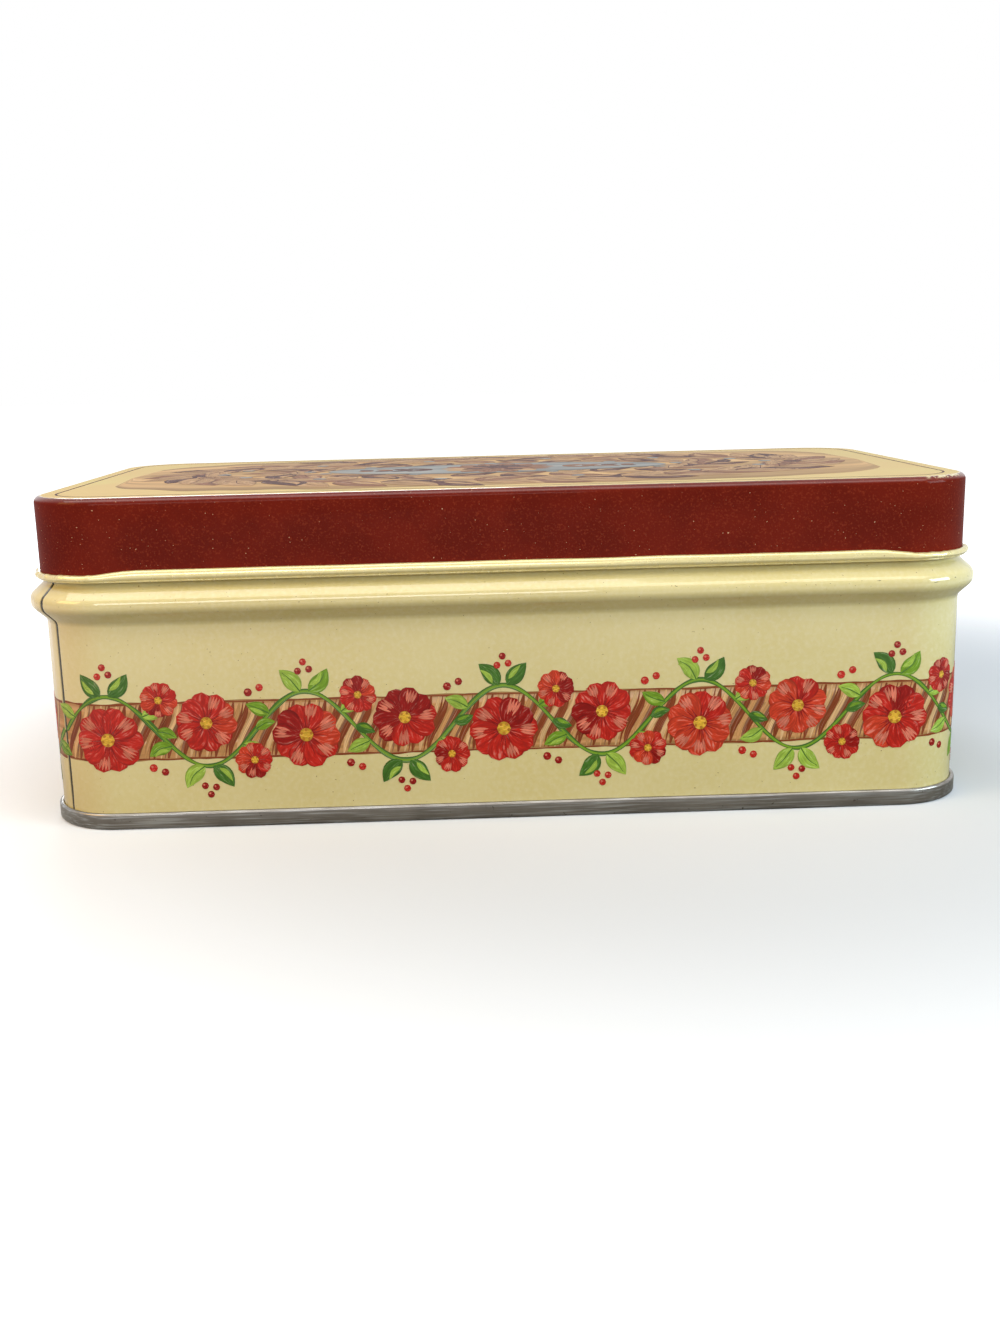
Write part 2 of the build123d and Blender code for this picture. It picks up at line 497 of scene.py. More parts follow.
def build_base():
    """Bare bottom, its edge rolled together with the wall's foot."""
    ring = SHEET / 2
    top = SEAM_HEIGHT - SHEET / 2
    panel_line = base_high.z - SHEET / 2
    chuck = -1.5 * SHEET - SEAM_GAP
    seam_wall = base_high.x - HALF_X - SHEET / 2
    cover = SEAM_GAP + SHEET / 2
    line = bent_line(
        [
            (-PANEL_EDGE, panel_line),
            (chuck, panel_line),
            (chuck, ring),
            (seam_wall, ring),
            (seam_wall, top),
            (cover, top),
            (cover, top - COVER_HOOK),
        ],
        [0.8, 0.35, 0.42, 0.28, 0.28],
    )
    rows = panel_rows(base_high.z, outer=False, inward=False)
    rows += faces_of_sheet(line, outer_on_left=True)
    rows += panel_rows(base_high.z - SHEET, outer=True, inward=True)
    bulge_depth = 0.1
    bulge_half_height = 1.4
    drawn_in = 0.08
    panel_step = 0.5

    def shape(row, along):
        edge = smoothstep(0, 1, row.out + 0.5)
        bulge = bulge_depth * max(0, 1 - ((row.up - SEAM_HEIGHT / 2) / bulge_half_height) ** 2)
        out = row.out + edge * (wobble(along, scale=9, amount=0.05) + bulge - drawn_in)
        sunk = 1 if row.pull else 1 - smoothstep(-5.2, -4.4, row.out)
        return out, row.up - panel_step * sunk * (row.out < -1), 0

    base = build_sheet("base_shell", rows, shape, closed=False)
    tinplate = bare_tinplate()
    base.data.materials.append(tinplate)
    base.data.materials.append(tinplate)
    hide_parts("base")
    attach(base, "tin")


def add_node(tree, kind, *sources, **settings):
    """A node with its properties set, and its inputs linked or set in order."""
    made = tree.nodes.new(kind)
    for key, value in settings.items():
        setattr(made, key, value)
    for socket, source in zip(made.inputs, sources):
        if isinstance(source, bpy.types.NodeSocket):
            tree.links.new(source, socket)
        else:
            socket.default_value = source
    return made


class Finish:
    """A material built from nodes."""

    def __init__(self, name, roughness, metallic=0.0):
        self.material = bpy.data.materials.new(name)
        self.material.use_nodes = True
        self.tree = self.material.node_tree
        self.surface = self.tree.nodes["Principled BSDF"]
        self.surface.inputs["Roughness"].default_value = roughness
        self.surface.inputs["Metallic"].default_value = metallic
        self.place = self.node("ShaderNodeTexCoord").outputs["Object"]

    def node(self, kind, *sources, **settings):
        """A node of this material."""
        return add_node(self.tree, kind, *sources, **settings)

    def attribute(self, name, output):
        """A value stored on the mesh's points."""
        return self.node("ShaderNodeAttribute", attribute_name=name).outputs[output]

    def noise(self, size, detail=3, place=None):
        """Noise from 0 to 1 in patches about size millimetres across, or size in a place's own units."""
        made = self.node("ShaderNodeTexNoise", place or self.place)
        made.inputs["Scale"].default_value = 1 / (size * MM) if place is None else 1 / size
        made.inputs["Detail"].default_value = detail
        return made.outputs["Fac"]

    def stretched(self, place, x, y, z):
        """Coordinates multiplied along each axis."""
        return self.node("ShaderNodeVectorMath", place, (x, y, z), operation="MULTIPLY").outputs[0]

    def sums(self, operation, *values):
        """The result of one arithmetic operation."""
        return self.node("ShaderNodeMath", *values, operation=operation).outputs[0]

    def between(self, value, low, high):
        """0 where value is at low, 1 where it is at high, and a smooth ramp between them."""
        made = self.node("ShaderNodeMapRange", value, low, high, 0.0, 1.0, interpolation_type="SMOOTHSTEP")
        return made.outputs[0]

    def blend(self, share, first, second):
        """The first colour where share is 0, the second where it is 1."""
        made = self.node("ShaderNodeMix", data_type="RGBA")
        for socket, source in zip((made.inputs[0], made.inputs[6], made.inputs[7]), (share, first, second)):
            if isinstance(source, bpy.types.NodeSocket):
                self.tree.links.new(source, socket)
            else:
                socket.default_value = source
        return made.outputs[2]

    def feed(self, socket, source):
        """Links a result to the surface."""
        self.tree.links.new(source, self.surface.inputs[socket])

    def relief(self, *layers):
        """Bump from (height, depth in millimetres) layers."""
        normal = None
        for height, depth in layers:
            made = self.node("ShaderNodeBump")
            made.inputs["Strength"].default_value = 1
            made.inputs["Distance"].default_value = depth * MM
            self.tree.links.new(height, made.inputs["Height"])
            if normal is not None:
                self.tree.links.new(normal, made.inputs["Normal"])
            normal = made.outputs["Normal"]
        self.feed("Normal", normal)

    def gloss(self, coat, coat_roughness, coat_ior=1.5):
        """A clear coat over the colour, which has no shine of its own."""
        self.surface.inputs["Specular IOR Level"].default_value = 0.0
        self.surface.inputs["Coat Weight"].default_value = coat
        self.surface.inputs["Coat Roughness"].default_value = coat_roughness
        self.surface.inputs["Coat IOR"].default_value = coat_ior


def colour(red, green, blue):
    """A colour given as it shows on screen, 0 to 255, as a linear colour."""
    linear = []
    for value in (red, green, blue):
        share = value / 255
        linear.append(share / 12.92 if share < 0.04045 else ((share + 0.055) / 1.055) ** 2.4)
    return (*linear, 1.0)


BLACK = (0, 0, 0, 1)
WHITE = (1, 1, 1, 1)

CREAM = colour(224, 210, 150)
CREAM_DEEP = colour(220, 204, 140)
CREAM_PALE = colour(230, 218, 168)
CREAM_TOP = colour(224, 199, 146)
CREAM_SPECK = colour(150, 124, 82)
CREAM_CHIP = colour(232, 214, 170)
MAROON = colour(112, 26, 9)
MAROON_DEEP = colour(101, 21, 6)
MAROON_PALE = colour(140, 52, 28)
DUST = colour(206, 158, 124)
# Dark colour for dirt, used also for painted shade
GRIME_AND_SHADE = colour(34, 24, 14)
BARE_KNOCK = colour(74, 62, 46)
TIN = colour(148, 144, 139)
TIN_DULL = colour(110, 104, 97)
TIN_RUBBED = colour(196, 199, 200)
TIN_KNOCK = colour(70, 62, 54)
INK_STREAK = (1, 0.9, 0.75, 1)

# The line of knocks along the bead: its height, how far up and down it is at its densest, and where it ends
SCUFF_HEIGHT = BEAD_CENTRE + 0.5
SCUFF_CORE = 0.3
SCUFF_REACH = 0.7


def cream_enamel(name, scuffed=False, metallic=0.0):
    """Glossy cream lacquer with a faint tone to it, pin specks, and dirt and painted shade where marked.

    scuffed adds knocks along the bead's crown, and metallic lets the tin show through.
    """
    finish = Finish(name, roughness=0.28, metallic=metallic)
    tone = finish.blend(finish.between(finish.noise(26), 0.35, 0.7), CREAM, CREAM_DEEP)
    tone = finish.blend(finish.between(finish.noise(0.8, detail=2), 0.3, 1.1), tone, CREAM_PALE)
    tone = finish.blend(finish.between(finish.noise(0.45, detail=1), 0.765, 0.79), tone, CREAM_SPECK)
    if scuffed:
        height = finish.node("ShaderNodeSeparateXYZ", finish.place).outputs[2]
        off_line = finish.sums("ABSOLUTE", finish.sums("SUBTRACT", height, SCUFF_HEIGHT * MM))
        crown = finish.between(off_line, SCUFF_REACH * MM, SCUFF_CORE * MM)
        knocks = finish.noise(1.0, place=finish.stretched(finish.place, 700, 700, 4200))
        knocks = finish.sums("MULTIPLY", finish.between(knocks, 0.70, 0.73), crown)
        tone = finish.blend(knocks, tone, BARE_KNOCK)
    # Dirt and painted shade from the mesh's marks: the seam's groove, the neck under the lid's curl, the
    # curl's lower half
    tone = finish.blend(finish.attribute("marks_and_shade", "Fac"), tone, GRIME_AND_SHADE)
    finish.feed("Base Color", tone)
    finish.feed("Roughness", finish.sums("MULTIPLY_ADD", finish.noise(3.5, detail=4), 0.14, 0.2))
    finish.relief((finish.noise(14, detail=1), 0.08), (finish.noise(0.7), 0.003))
    finish.gloss(coat=1.0, coat_roughness=0.04, coat_ior=1.62)
    return finish.material


# Distances along the lid's profile, from its flat top: where the red print ends, and the polished rounding
RED_RUN = PANEL_EDGE - 0.75
POLISH_START = PANEL_EDGE - 1
POLISH_FULL = PANEL_EDGE - 0.7
POLISH_FADE = 6.3
POLISH_END = 6.8


def lid_enamel():
    """Dark red skirt with fine dust in its gloss, and a cream top that the red just turns onto."""
    finish = Finish("lid_enamel", roughness=0.3)
    red = finish.blend(finish.between(finish.noise(9), 0.35, 0.65), MAROON, MAROON_DEEP)
    grain = finish.between(finish.noise(0.34), 0.5, 0.78)
    red = finish.blend(finish.sums("MULTIPLY", grain, 0.75), red, MAROON_PALE)
    red = finish.blend(finish.between(finish.noise(0.42, detail=1), 0.755, 0.79), red, DUST)
    cream = finish.blend(finish.between(finish.noise(24), 0.35, 0.9), CREAM_TOP, CREAM)
    run = finish.attribute("run", "Fac")
    edge = finish.sums("MULTIPLY_ADD", finish.noise(1.3), 0.3, RED_RUN)
    tone = finish.blend(finish.sums("GREATER_THAN", run, edge), cream, red)
    flakes = finish.between(finish.noise(0.8, detail=4), 0.47, 0.52)
    chips = finish.sums("MULTIPLY", flakes, finish.attribute("marks_and_shade", "Fac"))
    finish.feed("Base Color", finish.blend(chips, tone, CREAM_CHIP))
    finish.relief((finish.noise(11, detail=1), 0.08), (finish.noise(0.4, detail=2), 0.006), (chips, 0.03))
    onto_edge = finish.between(run, POLISH_START, POLISH_FULL)
    off_edge = finish.between(run, POLISH_END, POLISH_FADE)
    rounding = finish.sums("MULTIPLY", onto_edge, off_edge)
    finish.gloss(coat=0.12, coat_roughness=0.06)
    finish.feed("Coat Weight", finish.sums("MULTIPLY_ADD", rounding, 0.8, 0.12))
    return finish.material


def bare_tinplate():
    """Bright tin, rubbed along its length, with dull patches and small dark knocks."""
    finish = Finish("tinplate", roughness=0.3, metallic=1.0)
    rub = finish.noise(1.0, place=finish.stretched(finish.place, 90, 900, 3200))
    patches = finish.noise(7, detail=4)
    tone = finish.blend(finish.between(patches, 0.1, 0.95), TIN, TIN_DULL)
    tone = finish.blend(finish.between(rub, 0.45, 0.85), tone, TIN_RUBBED)
    tone = finish.blend(finish.between(finish.noise(0.9, detail=4), 0.68, 0.76), tone, TIN_KNOCK)
    finish.feed("Base Color", tone)
    finish.feed("Roughness", finish.sums("MULTIPLY_ADD", patches, 0.15, 0.24))
    finish.relief((rub, 0.006), (finish.noise(3.5), 0.04))
    return finish.material


def printed_ink(name, coat):
    """Brushed enamel ink: each stroke has its own colour, streaked along it and pooled at its edges."""
    finish = Finish(name, roughness=0.32)
    brush = finish.attribute("brush", "Vector")
    ink = finish.attribute("ink", "Color")
    streaks = finish.noise(1.0, place=finish.stretched(brush, 3.0, 4.5, 1))
    tone = finish.blend(finish.between(streaks, 0.62, 0.35), ink, finish.blend(0.34, ink, BLACK))
    tone = finish.blend(finish.between(streaks, 0.55, 0.8), tone, finish.blend(0.3, ink, INK_STREAK))
    across = finish.node("ShaderNodeSeparateXYZ", brush).outputs[1]
    rim = finish.between(finish.sums("ABSOLUTE", across), 0.72, 1.0)
    finish.feed("Base Color", finish.blend(finish.sums("MULTIPLY", rim, 0.3), tone, BLACK))
    finish.relief((finish.noise(14, detail=1), 0.10), (finish.noise(0.4), 0.008))
    finish.gloss(coat=coat, coat_roughness=0.06)
    return finish.material


RED = colour(206, 40, 28)
RED_DEEP = colour(162, 20, 14)
RED_WARM = colour(220, 68, 40)
RED_PALE = colour(232, 128, 104)
YELLOW = colour(240, 190, 62)
OCHRE = colour(202, 132, 36)
LEAF = colour(130, 174, 44)
LEAF_DEEP = colour(76, 124, 44)
LEAF_PALE = colour(172, 206, 80)
STRAW = colour(214, 158, 100)
STRAW_PALE = colour(236, 192, 138)
STRAW_DEEP = colour(146, 70, 34)
SEPIA = colour(154, 106, 78)
SEPIA_DEEP = colour(96, 50, 46)
SEPIA_PALE = colour(198, 156, 112)
SEPIA_WASH = colour(220, 178, 122)
SLATE = colour(158, 162, 164)

# Heights of the ink films above the enamel, and the thickness of each, which reaches down into the sheet
FILM_BAND = 0.012
FILM_STRIPE = 0.020
FILM_STEM = 0.028
FILM_LEAF = 0.036
FILM_VEIN = 0.044
FILM_PETAL = 0.050
FILM_SHADE = 0.066
FILM_CENTRE = 0.074
FILM_DOT = 0.082
FILM_DEPTH = 0.14

# Widest strip of a film on the wall that still follows its corners, and on the lid its panel
WALL_STRIP = 1.1
PANEL_STRIP = 3.4

# Half width that a stroke never falls below
THINNEST = 0.03

# The painted border: a striped band with a running vine on it, from one side of the lock seam to the other
BAND_MIDDLE = 17.6
BAND_HALF = 5.2
BORDER_START = LOCK_EDGE + 0.45
BORDER_LENGTH = GIRTH - 0.75
BORDER_STEPS = 760
REPEATS = 28
PITCH = BORDER_LENGTH / REPEATS
VINE_SWING = 6.5

# The band's slanting stripes: spacing, room for the last, and for each kind its place, tones and half width
STRIPE_SPACING = 2.7
STRIPE_ROOM = 4.6
STRIPES = [
    (0, (STRAW_DEEP,), 0.42),
    (0.45, (STRAW_PALE, STRAW), 0.34),
    (0.72, (STRAW_DEEP, SEPIA), 0.16),
]

# Blooms: petals in each, and the angle in radians from a petal's middle to each of its two lobes
PETALS = 5
LOBE_TILT = 0.24

# The lid's rosette: for each round its petals, length, half width, turn in petals, tones and film
ROSETTE_ROUNDS = [
    (14, 11.5, 2.1, 0, (SEPIA_PALE, SEPIA), FILM_DOT + 0.006),
    (10, 7.5, 1.7, 0.5, (SEPIA, SEPIA_DEEP), FILM_DOT + 0.018),
]

# The fine line round the lid's top
FRAME_INSET = 3.4
FRAME_HALF = 0.2
FRAME_STEPS = 240


def smooth_line(points, count):
    """count points on a smooth curve through the given ones."""
    points = [Vector(point) for point in points]
    ends = [points[0] * 2 - points[1], *points, points[-1] * 2 - points[-2]]
    line = []
    for i in range(count):
        t = i / (count - 1) * (len(points) - 1)
        j = min(int(t), len(points) - 2)
        t -= j
        a, b, c, d = ends[j : j + 4]
        square = (2 * a - 5 * b + 4 * c - d) * t * t
        cube = (3 * b - a - 3 * c + d) * t**3
        line.append(0.5 * (2 * b + (c - a) * t + square + cube))
    return line


class Print:
    """Thin films of ink on one surface, gathered into one mesh.

    surface(a, b, lift) gives a place in metres for two coordinates on the surface and a height above it.
    """

    def __init__(self, surface):
        self.surface = surface
        self.points = []
        self.faces = []
        self.inks = []
        self.brushes = []

    def stroke(self, points, half_width, ink, lift, cuts=9, strip_width=WALL_STRIP):
        """A brush stroke along a curve; half_width gives its half width at a share of its length."""
        line = smooth_line(points, cuts)
        widths = [max(half_width(i / (cuts - 1)), THINNEST) for i in range(cuts)]
        strips = math.ceil(2 * max(widths) / strip_width)
        shares = [2 * k / strips - 1 for k in range(strips + 1)]
        section = [(share, lift) for share in shares]
        section += [(share, lift - FILM_DEPTH) for share in reversed(shares)]
        first = len(self.points)
        seed = chance.uniform(0, 60)
        for i, spot in enumerate(line):
            way = (line[min(i + 1, cuts - 1)] - line[max(i - 1, 0)]).normalized()
            for share, height in section:
                edge = spot + leftward(way) * widths[i] * share
                self.points.append(self.surface(edge.x, edge.y, height))
                self.inks.append(ink)
                self.brushes.append((i / (cuts - 1), share, seed))
        step = len(section)
        for i in range(cuts - 1):
            here = first + i * step
            there = here + step
            for k in range(step):
                following = (k + 1) % step
                self.faces.append((here + k, there + k, there + following, here + following))
        last = first + (cuts - 1) * step
        self.faces.append(range(first, first + step))
        self.faces.append(range(last + step - 1, last - 1, -1))

    def disc(self, centre, radius, ink, lift):
        """A round dab."""
        reach = Vector((radius, 0))
        centre = Vector(centre)

        def width(t):
            return radius * math.sqrt(max(0, 1 - (2 * t - 1) ** 2))

        self.stroke([centre - reach, centre + reach], width, ink, lift)

    def finish(self, name, body, material):
        """Makes the piece."""
        mesh = bpy.data.meshes.new(name)
        mesh.from_pydata(self.points, [], self.faces)
        inks = mesh.attributes.new("ink", "FLOAT_COLOR", "POINT")
        inks.data.foreach_set("color", [value for ink in self.inks for value in ink])
        brushes = mesh.attributes.new("brush", "FLOAT_VECTOR", "POINT")
        brushes.data.foreach_set("vector", [value for brush in self.brushes for value in brush])
        piece = finish_mesh(name, mesh, sharp_angle=60)
        piece.data.materials.append(material)
        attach(piece, body)


def on_wall(along, up, lift):
    """A place on the plain wall's outer face."""
    spot = ring_point(along, wall_bow(along, up) + lock_lip(along) + lift)
    return Vector((spot.x, spot.y, up)) * MM


def on_lid(x, y, lift):
    """A place on the lid's flat top."""
    return Vector((x, y, LID_TOP + panel_rise(x, y) + lift)) * MM


def varied(shade, amount=0.1):
    """A colour a little lighter or darker than given, by chance."""
    share = 1 + chance.uniform(-amount, amount)
    return (*(min(value * share, 1) for value in shade[:3]), 1.0)


def pick(*shades):
    """One of the colours by chance, a little varied."""
    return varied(chance.choice(shades))


def leaf_width(half):
    """A pointed leaf's half width."""
    return lambda t: half * math.sin(math.pi * t**0.8) ** 0.85


def petal_width(half):
    """A round-ended petal's half width, narrow at its foot."""
    widest = 0.62

    def width(t):
        if t < widest:
            return half * (0.2 + 0.8 * smoothstep(-0.1, widest, t))
        return half * math.sqrt(max(0, 1 - ((t - widest) / (1 - widest)) ** 2))

    return width


def leaf(sheet, foot, angle, length, half, shades, vein, flush=None):
    """A leaf in two tones with a middle vein, bent a little to one side."""
    way = heading(angle)
    aside = leftward(way) * length * chance.uniform(-0.12, 0.12)
    foot = Vector(foot)
    line = [foot, foot + way * length * 0.5 + aside, foot + way * length]
    ink = pick(*shades)
    sheet.stroke(line, leaf_width(half), ink, FILM_LEAF + chance.uniform(0, 0.004), cuts=10)
    light = [spot + leftward(way) * half * 0.35 for spot in line]
    light = [light[0].lerp(light[2], 0.2), light[1], light[0].lerp(light[2], 0.82)]
    sheet.stroke(light, leaf_width(half * 0.32), varied(flush or shades[-1]), FILM_VEIN, cuts=7)
    middle = [foot, line[1], foot + way * length * 0.86]
    sheet.stroke(middle, lambda t: 0.11 * (1 - 0.6 * t), vein, FILM_VEIN + 0.004, cuts=7)


def rosette(sheet, centre, radius):
    """A bloom of heart-shaped petals, each with a dark throat and a pale flush, round a yellow eye."""
    centre = Vector(centre)

    def throat_width(t):
        return radius * 0.05 * (1 - t)

    start = chance.uniform(0, TURN)
    for i in range(PETALS):
        angle = start + TURN * i / PETALS + chance.uniform(-0.07, 0.07)
        length = radius * chance.uniform(0.93, 1.05)
        film = FILM_PETAL + 0.0022 * i
        ink = chance.choice((RED, RED, RED_WARM, RED_DEEP))
        foot = centre + heading(angle) * radius * 0.08
        for tilt, lobe_film in ((-LOBE_TILT, film), (LOBE_TILT, film + 0.001)):
            tip = centre + heading(angle + tilt) * length
            bulge = foot.lerp(tip, 0.5) + heading(angle + math.pi / 2) * tilt * radius * 0.3
            shade = varied(ink, 0.06)
            sheet.stroke([foot, bulge, tip], petal_width(radius * 0.34), shade, lobe_film, cuts=11)
        for spread in (-0.3, 0, 0.3):
            tip = centre + heading(angle + spread) * radius * chance.uniform(0.5, 0.68)
            sheet.stroke([centre, tip], throat_width, varied(RED_DEEP), FILM_SHADE, cuts=5)
        flush = angle + chance.choice((-LOBE_TILT, LOBE_TILT))
        for spread in (-0.16, -0.05, 0.06, 0.17):
            shares = (chance.uniform(0.42, 0.62), 0.75, 0.93)
            line = [centre + heading(flush + spread) * radius * share for share in shares]
            sheet.stroke(line, leaf_width(radius * 0.042), varied(RED_PALE, 0.2), FILM_SHADE + 0.003, cuts=6)
    sheet.disc(centre, radius * 0.2, varied(YELLOW), FILM_CENTRE)
    for i in range(PETALS):
        dot = centre + heading(start + TURN * i / PETALS) * radius * 0.15
        sheet.disc(dot, radius * 0.045, varied(OCHRE), FILM_DOT)


def berry(sheet, centre, radius):
    """A red berry with a pale spot."""
    centre = Vector(centre)
    sheet.disc(centre, radius, pick(RED, RED_DEEP), FILM_PETAL)
    sheet.disc(centre + Vector((-0.3, 0.3)) * radius, radius * 0.3, varied(RED_PALE), FILM_SHADE)


def wall_band():
    """The striped straw band that the border is built on, with a dark line along each edge."""
    sheet = Print(on_wall)
    low = BAND_MIDDLE - BAND_HALF
    high = BAND_MIDDLE + BAND_HALF
    places = [BORDER_START + BORDER_LENGTH * i / BORDER_STEPS for i in range(BORDER_STEPS + 1)]

    def band_width(t):
        return BAND_HALF + wobble(t * GIRTH, scale=6, amount=0.35)

    def rim_width(t):
        return 0.16 + wobble(t * GIRTH, scale=2, amount=0.12)

    middle = [(place, BAND_MIDDLE) for place in places]
    sheet.stroke(middle, band_width, STRAW, FILM_BAND, cuts=BORDER_STEPS + 1)
    stripes = round(BORDER_LENGTH / STRIPE_SPACING)
    spacing = (BORDER_LENGTH - STRIPE_ROOM) / stripes
    for i in range(stripes):
        for offset, shades, half in STRIPES:
            foot = BORDER_START + 0.4 + spacing * (i + offset) + chance.uniform(-0.15, 0.15)
            line = [
                (foot, low + 0.3),
                (foot + 0.7, BAND_MIDDLE - 2.2),
                (foot + 3.0, BAND_MIDDLE + 2.2),
                (foot + 3.7, high - 0.3),
            ]
            film = FILM_STRIPE + 0.002 * offset
            sheet.stroke(line, lambda t: half * (0.35 + math.sin(math.pi * t)), pick(*shades), film, cuts=13)
    for edge in (low + 0.15, high - 0.15):
        rim = [(place, edge + wobble(place, scale=5, amount=0.25)) for place in places]
        sheet.stroke(rim, rim_width, STRAW_DEEP, FILM_STRIPE + 0.004, cuts=BORDER_STEPS + 1)
    return sheet


def wall_vine():
    """A running vine with paired leaves, in even repeats."""
    sheet = Print(on_wall)
    vine = []
    for i in range(BORDER_STEPS + 1):
        share = i / BORDER_STEPS
        up = BAND_MIDDLE + VINE_SWING * math.sin(math.pi * REPEATS * share)
        vine.append((BORDER_START + BORDER_LENGTH * share, up))

    def stem_width(t):
        return 0.42 + wobble(t * GIRTH, scale=3, amount=0.25)

    def light_width(t):
        return 0.17 + wobble(t * GIRTH, scale=4, amount=0.1)

    sheet.stroke(vine, stem_width, LEAF_DEEP, FILM_STEM, cuts=BORDER_STEPS + 1)
    sheet.stroke(vine, light_width, LEAF, FILM_STEM + 0.005, cuts=BORDER_STEPS + 1)
    for i in range(REPEATS):
        side = 1 if i % 2 == 0 else -1
        outward = math.pi / 2 * side
        crest = BORDER_START + PITCH * (i + 0.5)
        for lean in (-0.72, 0.72):
            foot = (crest + lean, BAND_MIDDLE + side * VINE_SWING)
            leaf(sheet, foot, outward - lean * side, 5.2, 1.5, (LEAF, LEAF_DEEP, LEAF_PALE), LEAF_DEEP)
        for lean in (-1, 1):
            foot = (crest + lean * PITCH * 0.36, BAND_MIDDLE + side * VINE_SWING * 0.42)
            leaf(sheet, foot, outward - lean * side * 1.15, 4.4, 1.25, (LEAF, LEAF_PALE), LEAF_DEEP)
        if i < REPEATS - 1:
            foot = (BORDER_START + PITCH * (i + 1), BAND_MIDDLE)
            leaf(sheet, foot, -side * 0.35, 3.6, 1.0, (LEAF_DEEP, LEAF), LEAF_DEEP)
    return sheet


def wall_blooms():
    """A rosette inside each bend of the vine; and, apart, a small one beyond each crossing, with berries."""
    blooms = Print(on_wall)
    small = Print(on_wall)
    for i in range(REPEATS):
        side = 1 if i % 2 == 0 else -1
        crest = BORDER_START + PITCH * (i + 0.5)
        rosette(blooms, (crest, BAND_MIDDLE - side * 1.3), 6.0 if side > 0 else 5.4)
        for across, rise in ((0, 5.2), (-0.95, 3.6), (1.0, 3.9)):
            berry(small, (crest + across, BAND_MIDDLE + side * (VINE_SWING + rise)), 0.62)
        if i < REPEATS - 1:
            node = BORDER_START + PITCH * (i + 1)
            rosette(small, (node + side * 0.6, BAND_MIDDLE + side * 5.6), 3.3)
            berry(small, (node - 1.1, BAND_MIDDLE - side * 6.6), 0.72)
            berry(small, (node + 0.9, BAND_MIDDLE - side * 7.4), 0.66)
    return blooms, small


def oval(sheet, reach, ink, lift, fullness=2):
    """A filled oval on the lid, its edge a little uneven: an ellipse at fullness 2, squarer above that."""
    across, deep = reach

    def width(t):
        even = deep * (1 - abs(2 * t - 1) ** fullness) ** (1 / fullness)
        return even * (1 + wobble(t * 90, scale=5, amount=0.05))

    sheet.stroke([(-across, 0), (across, 0)], width, ink, lift, cuts=91, strip_width=PANEL_STRIP)


def wreath(sheet, reach, leaves, length, half, shades, first_dot):
    """A ring of leaves in pairs along an ellipse, all lying one way round, with a dot at every third pair."""
    across, deep = reach
    for i in range(leaves):
        angle = TURN * i / leaves
        foot = Vector((across * math.cos(angle), deep * math.sin(angle)))
        course = math.atan2(deep * math.cos(angle), -across * math.sin(angle))
        for lean in (-0.6, 0.6):
            tone = shades[(i + (lean > 0)) % len(shades)]
            turned = course + lean + chance.uniform(-0.12, 0.12)
            leaf(sheet, foot, turned, length, half, (tone,), SEPIA_DEEP, flush=SEPIA_PALE)
        if i % 3 == first_dot:
            sheet.disc(foot + heading(course + 1.3) * length * 0.42, 1.3, varied(SLATE), FILM_CENTRE)


def side_sprigs(sheet):
    """A short sprig of four pairs of strokes on each side of the lid's rosette."""
    for side in (-1, 1):
        for step in range(4):
            foot = Vector((side * (13 + 4 * step), 0))
            for lean in (-1, 1):
                way = heading(math.atan2(lean * 0.8, side))
                line = [foot + way * share * (6.5 - step) for share in (0, 0.5, 1)]
                sheet.stroke(line, leaf_width(1.3), pick(SEPIA, SEPIA_DEEP), FILM_DOT + 0.01, cuts=7)


def lid_wreath():
    """Two sepia wreaths round a rosette on a grey-blue ground, over a tan wash, inside a fine line."""
    sheet = Print(on_lid)
    oval(sheet, (73, 38.5), SEPIA_WASH, FILM_BAND, fullness=4)
    wreath(sheet, (60, 30), 42, 14, 3.6, (SEPIA, SEPIA_PALE, SEPIA_DEEP, SEPIA_PALE), first_dot=0)
    wreath(sheet, (42, 17.5), 28, 11, 2.9, (SEPIA_DEEP, SEPIA, SEPIA_PALE), first_dot=1)
    oval(sheet, (34, 12), varied(SLATE), FILM_CENTRE + 0.006)
    for petals, length, half, turned, shades, film in ROSETTE_ROUNDS:
        for i in range(petals):
            way = heading(TURN * (i + turned) / petals)
            petal = [way * share * length for share in (0.1, 0.55, 1)]
            sheet.stroke(petal, petal_width(half), pick(*shades), film)
    sheet.disc((0, 0), 2.2, varied(SEPIA_DEEP), FILM_DOT + 0.03)
    side_sprigs(sheet)
    edge = [ring_point(GIRTH * i / FRAME_STEPS, -FRAME_INSET) for i in range(FRAME_STEPS + 1)]
    sheet.stroke(edge, lambda t: FRAME_HALF, SEPIA_DEEP, FILM_STRIPE, cuts=2 * FRAME_STEPS + 1)
    return sheet


def build_prints():
    """The printing on the wall and the lid."""
    ink = printed_ink("wall_ink", coat=0.45)
    wall_band().finish("wall_print_band", "tin", ink)
    wall_vine().finish("wall_print_vine", "tin", ink)
    blooms, small = wall_blooms()
    blooms.finish("wall_print_blooms", "tin", ink)
    small.finish("wall_print_berries", "tin", ink)
    lid_wreath().finish("lid_print_wreath", "lid", printed_ink("lid_ink", coat=0.2))


# The floor, in metres: half its width, and the centre, start and end of its fade to white
FLOOR_HALF = 4.0
FADE_CENTRE = (0.045, 0.01, 0)
FADE_START = 0.09
FADE_END = 0.27

# The floor's colour to the camera, in a mirror, and in the light that it throws back
FLOOR_SEEN = (0.76, 0.79, 0.84, 1)
FLOOR_MIRRORED = (0.36, 0.36, 0.35, 1)
FLOOR_LIT = (0.17, 0.15, 0.12, 1)

# Strength of the even light from all round
AMBIENT = 0.14


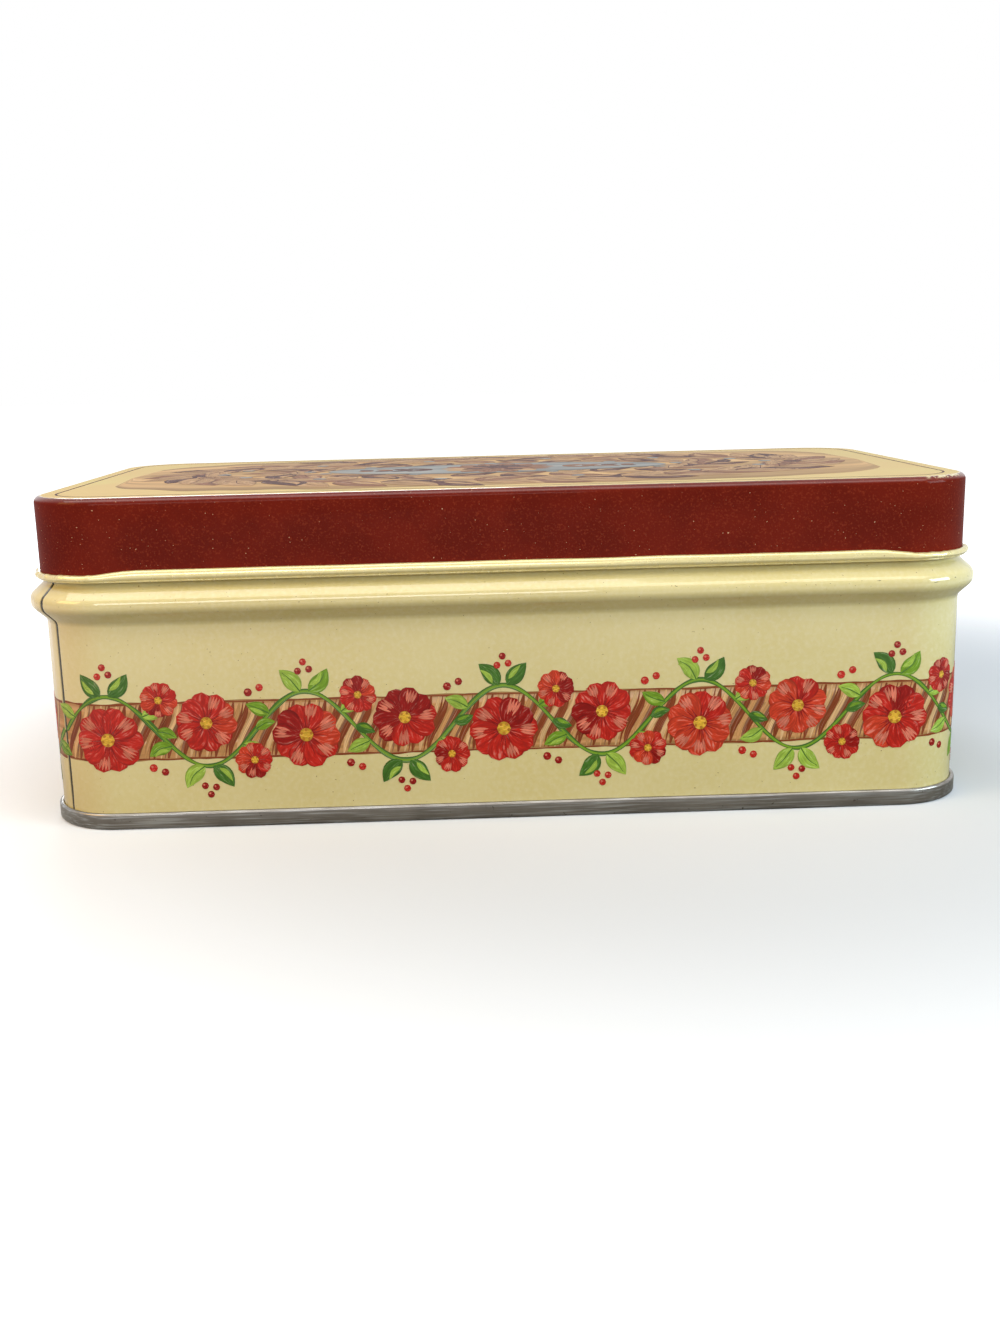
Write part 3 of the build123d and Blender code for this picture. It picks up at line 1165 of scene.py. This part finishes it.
def build_floor():
    """A plain pale floor that fades to white away from the tin."""
    mesh = bpy.data.meshes.new("floor")
    corners = [(x * FLOOR_HALF, y * FLOOR_HALF, 0) for x, y in ((-1, -1), (1, -1), (1, 1), (-1, 1))]
    mesh.from_pydata(corners, [], [(0, 1, 2, 3)])
    floor = bpy.data.objects.new("floor", mesh)
    bpy.context.scene.collection.objects.link(floor)
    finish = Finish("floor", roughness=0.9)
    finish.surface.inputs["Specular IOR Level"].default_value = 0.0
    path = finish.node("ShaderNodeLightPath").outputs
    shown = finish.blend(path["Is Glossy Ray"], FLOOR_SEEN, FLOOR_MIRRORED)
    finish.feed("Base Color", finish.blend(path["Is Diffuse Ray"], shown, FLOOR_LIT))
    away = finish.node("ShaderNodeVectorMath", finish.place, FADE_CENTRE, operation="DISTANCE")
    white = finish.between(away.outputs["Value"], FADE_START, FADE_END)
    seen = finish.sums("SUBTRACT", 1.0, path["Is Diffuse Ray"])
    finish.surface.inputs["Emission Color"].default_value = WHITE
    finish.feed("Emission Strength", finish.sums("MULTIPLY", white, seen))
    mesh.materials.append(finish.material)


def build_surround():
    """White to the camera, in reflections and through glass, and otherwise a dim even light."""
    world = bpy.data.worlds.new("surround")
    bpy.context.scene.world = world
    world.use_nodes = True
    tree = world.node_tree
    path = add_node(tree, "ShaderNodeLightPath").outputs
    seen = path["Is Camera Ray"]
    for kind in ("Is Glossy Ray", "Is Transmission Ray"):
        seen = add_node(tree, "ShaderNodeMath", seen, path[kind], operation="MAXIMUM").outputs[0]
    level = add_node(tree, "ShaderNodeMapRange", seen, 0.0, 1.0, AMBIENT, 1.0).outputs[0]
    background = tree.nodes["Background"]
    background.inputs["Color"].default_value = WHITE
    tree.links.new(level, background.inputs["Strength"])


# The lamps: name, place, point aimed at and size in metres, power in watts, and tint
LAMPS = [
    ("key", (-0.05, -0.22, 0.53), (0, -0.03, 0.04), (1.0, 0.3), 2.3, (1.0, 0.99, 0.94)),
    ("window", (-0.096, -0.62, 0.211), (0, 0, 0.04), (0.34, 0.15), 0.85, (1.0, 0.98, 0.94)),
    ("daylight", (0.38, -0.22, 0.16), (0.03, 0, 0.03), (0.2, 0.14), 1.1, (0.76, 0.93, 1.0)),
    ("warm", (-0.36, -0.20, 0.22), (-0.04, 0, 0.03), (0.2, 0.14), 0.55, (1.0, 0.58, 0.16)),
    ("back", (-0.12, 0.52, 0.30), (0, 0, 0.03), (0.3, 0.2), 1.4, (0.96, 0.98, 1.0)),
]


def build_lights():
    """Soft boxes: a key above, a window that draws the line on the bead, tinted sides and a light behind."""
    for name, place, target, size, power, tint in LAMPS:
        data = bpy.data.lights.new(name, "AREA")
        data.shape = "RECTANGLE"
        data.size, data.size_y = size
        data.energy = power
        data.color = tint
        lamp = bpy.data.objects.new(name, data)
        lamp.location = place
        lamp.rotation_euler = (Vector(target) - Vector(place)).to_track_quat("-Z", "Y").to_euler()
        bpy.context.scene.collection.objects.link(lamp)


# The view from a little above the lid: its place in millimetres, its turn in degrees and its lens
VIEW_PLACE = (-7.1, -276.3, 78.1)
VIEW_TURN = (77.67, 1.36, -1.67)
VIEW_LENS = 49.05


def build_camera():
    """The camera, a little under a quarter of a metre in front of the tin."""
    data = bpy.data.cameras.new("camera")
    data.sensor_fit = "HORIZONTAL"
    data.sensor_width = 36
    data.lens = VIEW_LENS
    camera = bpy.data.objects.new("camera", data)
    camera.location = Vector(VIEW_PLACE) * MM
    camera.rotation_euler = Euler([math.radians(angle) for angle in VIEW_TURN])
    bpy.context.scene.collection.objects.link(camera)
    bpy.context.scene.camera = camera


bpy.context.scene.view_settings.view_transform = "Standard"
build_lid()
build_wall()
build_base()
build_prints()
build_floor()
build_surround()
build_lights()
build_camera()
